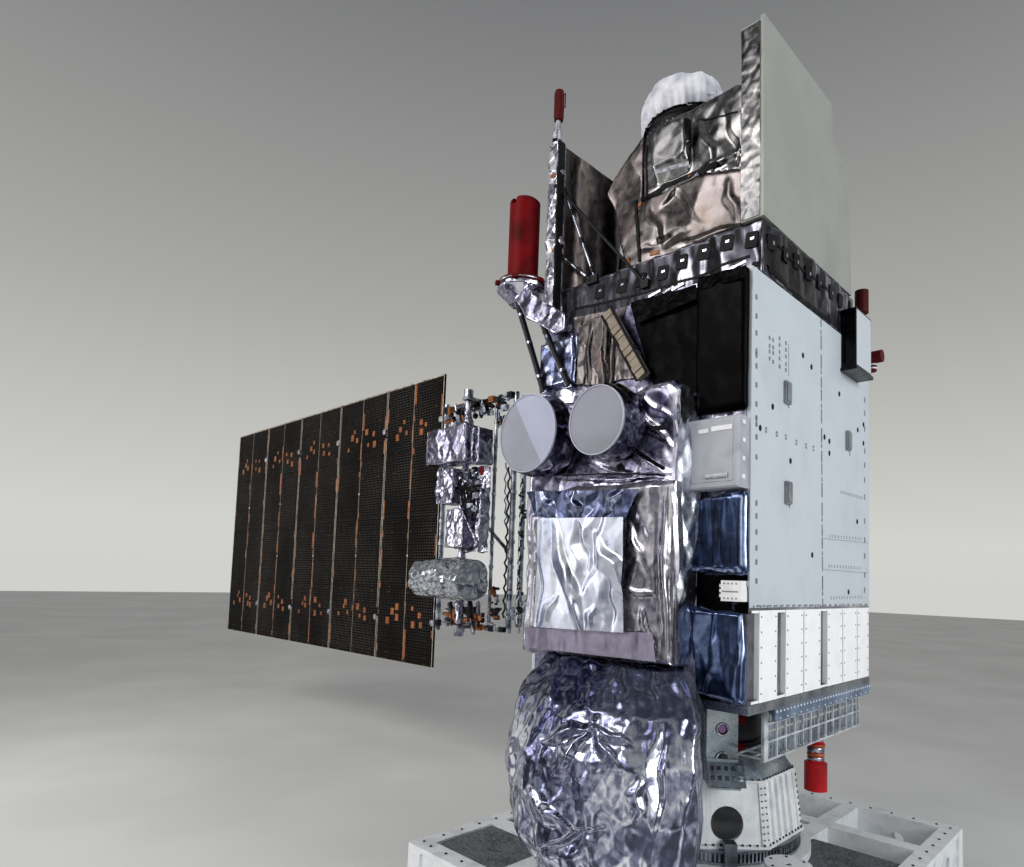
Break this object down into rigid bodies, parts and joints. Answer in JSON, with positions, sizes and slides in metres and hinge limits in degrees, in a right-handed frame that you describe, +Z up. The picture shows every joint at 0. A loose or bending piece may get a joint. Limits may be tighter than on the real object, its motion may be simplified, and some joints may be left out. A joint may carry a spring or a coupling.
{
  "type": "weather satellite on ground stand",
  "caption": "Boxy foil-wrapped weather satellite with a pale radiator side and a folding solar wing, standing on its drum adapter and floor dolly.",
  "frame": {"origin": "centre of the floor bolt rectangle, on the satellite's vertical centre line, in the plane of the dolly's feet", "axes": "+Z up, +X out of the pale radiator side and away from the solar wing, -Y out of the foil face with the two dishes"},
  "size_m": [12.64, 4.1249, 7.345],
  "materials": {
    "alu": "machined",
    "bag_film": "clear and silvered bagging film",
    "black_film": "black film, slight sheen",
    "black_metal": "black anodised",
    "blue_film": "dark blue film, slight sheen",
    "blue_grey": "satin blue-grey",
    "cells": "dark cover glass over cells",
    "champagne_foil": "crumpled warm silver film",
    "dark_foil": "dark bronze film",
    "dish_white": "matt white thermal paint",
    "fabric": "white elasticated bonnet cloth",
    "foil": "crumpled silvered film",
    "grey_paint": "satin grey",
    "radiator": "pale second-surface radiator tiles",
    "red_cover": "anodised red",
    "steel": "machined",
    "white_paint": "satin white enamel"
  },
  "bodies": {
    "bus": {"adapter_collar": "grey_paint", "adapter_cone": "black_metal", "adapter_drum": "white_paint", "adapter_ring": "steel", "aft_beam": "blue_grey", "aft_deck": "alu", "antenna_bay": "foil", "antenna_tower": "foil", "bonnet": "fabric", "can_bracket": "foil", "can_flange": "red_cover", "capped_cylinder": "red_cover", "centre_cylinder": "alu", "connector_box": "white_paint", "corner_box": "foil", "dish_1": "dish_white", "dish_2": "dish_white", "dolly_frame": "white_paint", "drive_housing": "alu", "far_side_panel": "radiator", "feed_legs": "foil", "front_blanket_left": "blue_film", "front_blanket_low": "blue_film", "front_blanket_middle": "blue_film", "front_blanket_top": "black_film", "front_panel": "foil", "heat_plates": "white_paint", "imager_base": "champagne_foil", "imager_body": "foil", "imager_drum": "black_metal", "instrument_deck": "black_film", "lattice_skirt": "alu", "lower_wall": "foil", "post_fittings": "red_cover", "radiator_panel": "radiator", "rear_antennas": "red_cover", "rear_panel": "foil", "red_can": "red_cover", "second_instrument": "dark_foil", "square_blanket": "foil", "top_panel": "black_film", "tower_antenna_cap": "red_cover", "upper_radiator": "radiator", "white_box": "white_paint", "wrapped_instrument": "bag_film"},
    "boom": {"wing_boom": "black_metal"},
    "frame": {"instrument_frame": "alu"},
    "gimbal": {"gimbal_mast": "foil", "sun_imager": "foil", "bagged_sensor": "bag_film"},
    "panel_1_body": {"panel_1": "cells"},
    "panel_2_body": {"panel_2": "cells"},
    "panel_3_body": {"panel_3": "cells"},
    "panel_4_body": {"panel_4": "cells"},
    "panel_5_body": {"panel_5": "cells"}
  },
  "joints": [
    {"name": "array_drive", "type": "hinge", "parent": "bus", "child": "boom", "pos_m": [-1.1, 0, 3.54], "axis": [1, 0, 0], "continuous": true},
    {"name": "yoke_fold", "type": "hinge", "parent": "boom", "child": "frame", "pos_m": [-2.55, 0, 3.54], "axis": [0, 0, 1], "range_deg": [0, 90]},
    {"name": "sun_gimbal", "type": "hinge", "parent": "frame", "child": "gimbal", "pos_m": [-3.25, -0.25, 3.54], "axis": [0, 0, 1], "range_deg": [-15, 15]},
    {"name": "panel_1_fold", "type": "hinge", "parent": "frame", "child": "panel_1_body", "pos_m": [-4.07, 0.06, 3.54], "axis": [0, 0, -1], "range_deg": [0, 180]},
    {"name": "panel_2_fold", "type": "hinge", "parent": "panel_1_body", "child": "panel_2_body", "pos_m": [-5.46, -0.025, 3.54], "axis": [0, 0, 1], "range_deg": [0, 180]},
    {"name": "panel_3_fold", "type": "hinge", "parent": "panel_2_body", "child": "panel_3_body", "pos_m": [-6.85, 0.025, 3.54], "axis": [0, 0, -1], "range_deg": [0, 180]},
    {"name": "panel_4_fold", "type": "hinge", "parent": "panel_3_body", "child": "panel_4_body", "pos_m": [-8.24, -0.025, 3.54], "axis": [0, 0, 1], "range_deg": [0, 180]},
    {"name": "panel_5_fold", "type": "hinge", "parent": "panel_4_body", "child": "panel_5_body", "pos_m": [-9.63, 0.025, 3.54], "axis": [0, 0, -1], "range_deg": [0, 180]}
  ],
  "couplings": [
    {"joint": "panel_1_fold", "follows": "yoke_fold", "ratio": 2},
    {"joint": "panel_2_fold", "follows": "yoke_fold", "ratio": 2},
    {"joint": "panel_3_fold", "follows": "yoke_fold", "ratio": 2},
    {"joint": "panel_4_fold", "follows": "yoke_fold", "ratio": 2},
    {"joint": "panel_5_fold", "follows": "yoke_fold", "ratio": 2}
  ]
}
